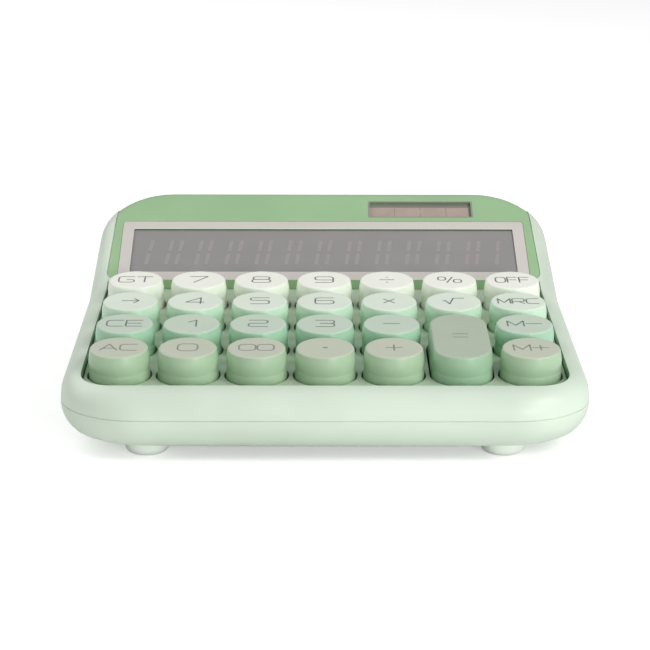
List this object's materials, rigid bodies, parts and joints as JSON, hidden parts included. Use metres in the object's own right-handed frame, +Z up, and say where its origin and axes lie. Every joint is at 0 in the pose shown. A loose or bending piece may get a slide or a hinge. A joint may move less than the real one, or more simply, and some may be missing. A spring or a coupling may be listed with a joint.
{
  "type": "desk calculator",
  "caption": "Wedge-shaped desk calculator with round full-travel keys, a sloping display window, a solar window and a sliding battery door underneath.",
  "frame": {"origin": "on the table, in the middle of the case's outline", "axes": "+Z up; the keys' front edge faces -Y and the display is towards +Y; +X to the user's right"},
  "size_m": [0.1474, 0.1472, 0.046],
  "materials": {
    "case_plastic": "fine satin moulded plastic, pale mint",
    "deck_plastic": "fine satin moulded plastic, pale green",
    "panel_plastic": "satin plastic, mid green",
    "display_glass": "clear window over a grey liquid-crystal display",
    "solar_glass": "clear window with a dark band",
    "solar_silicon": "dark thin-film solar cell",
    "inner_plastic": "plain moulded plastic",
    "film": "amber film",
    "board": "green solder mask",
    "switch_plastic": "dark moulded plastic",
    "screw_steel": "plated steel",
    "cell_wrap": "plain printed wrap",
    "contact_metal": "nickel-plated spring steel",
    "foot_rubber": "pale soft rubber",
    "key_row_front": "satin plastic, sage green",
    "key_row_second": "satin plastic, soft green",
    "key_row_third": "satin plastic, light green",
    "key_row_rear": "satin plastic, very pale green"
  },
  "bodies": {
    "case": {"upper_shell": "case_plastic", "lower_shell": "case_plastic", "key_deck": "deck_plastic", "display_panel": "panel_plastic", "display_lens": "display_glass", "lcd_glass": "display_glass", "solar_window": "solar_glass", "solar_cell": "solar_silicon", "lcd_bracket": "inner_plastic", "equals_guides": "inner_plastic", "lcd_ribbon": "film", "main_board": "board", "switch_housings": "switch_plastic", "board_screws": "screw_steel", "bracket_screws": "screw_steel", "case_screws": "screw_steel", "battery_spring": "screw_steel", "battery_cell": "cell_wrap", "battery_contacts": "contact_metal", "foot_front_left": "foot_rubber", "foot_front_right": "foot_rubber", "foot_rear_left": "foot_rubber", "foot_rear_right": "foot_rubber"},
    "key_all_clear": {"key_all_clear": "key_row_front"},
    "key_0": {"key_0": "key_row_front"},
    "key_00": {"key_00": "key_row_front"},
    "key_point": {"key_point": "key_row_front"},
    "key_plus": {"key_plus": "key_row_front"},
    "key_memory_plus": {"key_memory_plus": "key_row_front"},
    "key_clear_entry": {"key_clear_entry": "key_row_second"},
    "key_1": {"key_1": "key_row_second"},
    "key_2": {"key_2": "key_row_second"},
    "key_3": {"key_3": "key_row_second"},
    "key_minus": {"key_minus": "key_row_second"},
    "key_memory_minus": {"key_memory_minus": "key_row_second"},
    "key_backspace": {"key_backspace": "key_row_third"},
    "key_4": {"key_4": "key_row_third"},
    "key_5": {"key_5": "key_row_third"},
    "key_6": {"key_6": "key_row_third"},
    "key_times": {"key_times": "key_row_third"},
    "key_square_root": {"key_square_root": "key_row_third"},
    "key_memory_recall": {"key_memory_recall": "key_row_third"},
    "key_grand_total": {"key_grand_total": "key_row_rear"},
    "key_7": {"key_7": "key_row_rear"},
    "key_8": {"key_8": "key_row_rear"},
    "key_9": {"key_9": "key_row_rear"},
    "key_divide": {"key_divide": "key_row_rear"},
    "key_percent": {"key_percent": "key_row_rear"},
    "key_off": {"key_off": "key_row_rear"},
    "key_equals": {"key_equals": "key_row_front"},
    "battery_door": {"battery_door": "case_plastic"}
  },
  "joints": [
    {"name": "key_all_clear_press", "type": "slide", "parent": "case", "child": "key_all_clear", "axis": [0, 0.0872, -0.9962], "range_m": [0, 0.0025], "stiffness_N_per_m": 150, "springref_m": -0.002},
    {"name": "key_0_press", "type": "slide", "parent": "case", "child": "key_0", "axis": [0, 0.0872, -0.9962], "range_m": [0, 0.0025], "stiffness_N_per_m": 150, "springref_m": -0.002},
    {"name": "key_00_press", "type": "slide", "parent": "case", "child": "key_00", "axis": [0, 0.0872, -0.9962], "range_m": [0, 0.0025], "stiffness_N_per_m": 150, "springref_m": -0.002},
    {"name": "key_point_press", "type": "slide", "parent": "case", "child": "key_point", "axis": [0, 0.0872, -0.9962], "range_m": [0, 0.0025], "stiffness_N_per_m": 150, "springref_m": -0.002},
    {"name": "key_plus_press", "type": "slide", "parent": "case", "child": "key_plus", "axis": [0, 0.0872, -0.9962], "range_m": [0, 0.0025], "stiffness_N_per_m": 150, "springref_m": -0.002},
    {"name": "key_memory_plus_press", "type": "slide", "parent": "case", "child": "key_memory_plus", "axis": [0, 0.0872, -0.9962], "range_m": [0, 0.0025], "stiffness_N_per_m": 150, "springref_m": -0.002},
    {"name": "key_clear_entry_press", "type": "slide", "parent": "case", "child": "key_clear_entry", "axis": [0, 0.0872, -0.9962], "range_m": [0, 0.0025], "stiffness_N_per_m": 150, "springref_m": -0.002},
    {"name": "key_1_press", "type": "slide", "parent": "case", "child": "key_1", "axis": [0, 0.0872, -0.9962], "range_m": [0, 0.0025], "stiffness_N_per_m": 150, "springref_m": -0.002},
    {"name": "key_2_press", "type": "slide", "parent": "case", "child": "key_2", "axis": [0, 0.0872, -0.9962], "range_m": [0, 0.0025], "stiffness_N_per_m": 150, "springref_m": -0.002},
    {"name": "key_3_press", "type": "slide", "parent": "case", "child": "key_3", "axis": [0, 0.0872, -0.9962], "range_m": [0, 0.0025], "stiffness_N_per_m": 150, "springref_m": -0.002},
    {"name": "key_minus_press", "type": "slide", "parent": "case", "child": "key_minus", "axis": [0, 0.0872, -0.9962], "range_m": [0, 0.0025], "stiffness_N_per_m": 150, "springref_m": -0.002},
    {"name": "key_memory_minus_press", "type": "slide", "parent": "case", "child": "key_memory_minus", "axis": [0, 0.0872, -0.9962], "range_m": [0, 0.0025], "stiffness_N_per_m": 150, "springref_m": -0.002},
    {"name": "key_backspace_press", "type": "slide", "parent": "case", "child": "key_backspace", "axis": [0, 0.0872, -0.9962], "range_m": [0, 0.0025], "stiffness_N_per_m": 150, "springref_m": -0.002},
    {"name": "key_4_press", "type": "slide", "parent": "case", "child": "key_4", "axis": [0, 0.0872, -0.9962], "range_m": [0, 0.0025], "stiffness_N_per_m": 150, "springref_m": -0.002},
    {"name": "key_5_press", "type": "slide", "parent": "case", "child": "key_5", "axis": [0, 0.0872, -0.9962], "range_m": [0, 0.0025], "stiffness_N_per_m": 150, "springref_m": -0.002},
    {"name": "key_6_press", "type": "slide", "parent": "case", "child": "key_6", "axis": [0, 0.0872, -0.9962], "range_m": [0, 0.0025], "stiffness_N_per_m": 150, "springref_m": -0.002},
    {"name": "key_times_press", "type": "slide", "parent": "case", "child": "key_times", "axis": [0, 0.0872, -0.9962], "range_m": [0, 0.0025], "stiffness_N_per_m": 150, "springref_m": -0.002},
    {"name": "key_square_root_press", "type": "slide", "parent": "case", "child": "key_square_root", "axis": [0, 0.0872, -0.9962], "range_m": [0, 0.0025], "stiffness_N_per_m": 150, "springref_m": -0.002},
    {"name": "key_memory_recall_press", "type": "slide", "parent": "case", "child": "key_memory_recall", "axis": [0, 0.0872, -0.9962], "range_m": [0, 0.0025], "stiffness_N_per_m": 150, "springref_m": -0.002},
    {"name": "key_grand_total_press", "type": "slide", "parent": "case", "child": "key_grand_total", "axis": [0, 0.0872, -0.9962], "range_m": [0, 0.0025], "stiffness_N_per_m": 150, "springref_m": -0.002},
    {"name": "key_7_press", "type": "slide", "parent": "case", "child": "key_7", "axis": [0, 0.0872, -0.9962], "range_m": [0, 0.0025], "stiffness_N_per_m": 150, "springref_m": -0.002},
    {"name": "key_8_press", "type": "slide", "parent": "case", "child": "key_8", "axis": [0, 0.0872, -0.9962], "range_m": [0, 0.0025], "stiffness_N_per_m": 150, "springref_m": -0.002},
    {"name": "key_9_press", "type": "slide", "parent": "case", "child": "key_9", "axis": [0, 0.0872, -0.9962], "range_m": [0, 0.0025], "stiffness_N_per_m": 150, "springref_m": -0.002},
    {"name": "key_divide_press", "type": "slide", "parent": "case", "child": "key_divide", "axis": [0, 0.0872, -0.9962], "range_m": [0, 0.0025], "stiffness_N_per_m": 150, "springref_m": -0.002},
    {"name": "key_percent_press", "type": "slide", "parent": "case", "child": "key_percent", "axis": [0, 0.0872, -0.9962], "range_m": [0, 0.0025], "stiffness_N_per_m": 150, "springref_m": -0.002},
    {"name": "key_off_press", "type": "slide", "parent": "case", "child": "key_off", "axis": [0, 0.0872, -0.9962], "range_m": [0, 0.0025], "stiffness_N_per_m": 150, "springref_m": -0.002},
    {"name": "key_equals_press", "type": "slide", "parent": "case", "child": "key_equals", "axis": [0, 0.0872, -0.9962], "range_m": [0, 0.0025], "stiffness_N_per_m": 150, "springref_m": -0.002},
    {"name": "battery_door_slide", "type": "slide", "parent": "case", "child": "battery_door", "axis": [0, 1, 0], "range_m": [0, 0.032]}
  ]
}
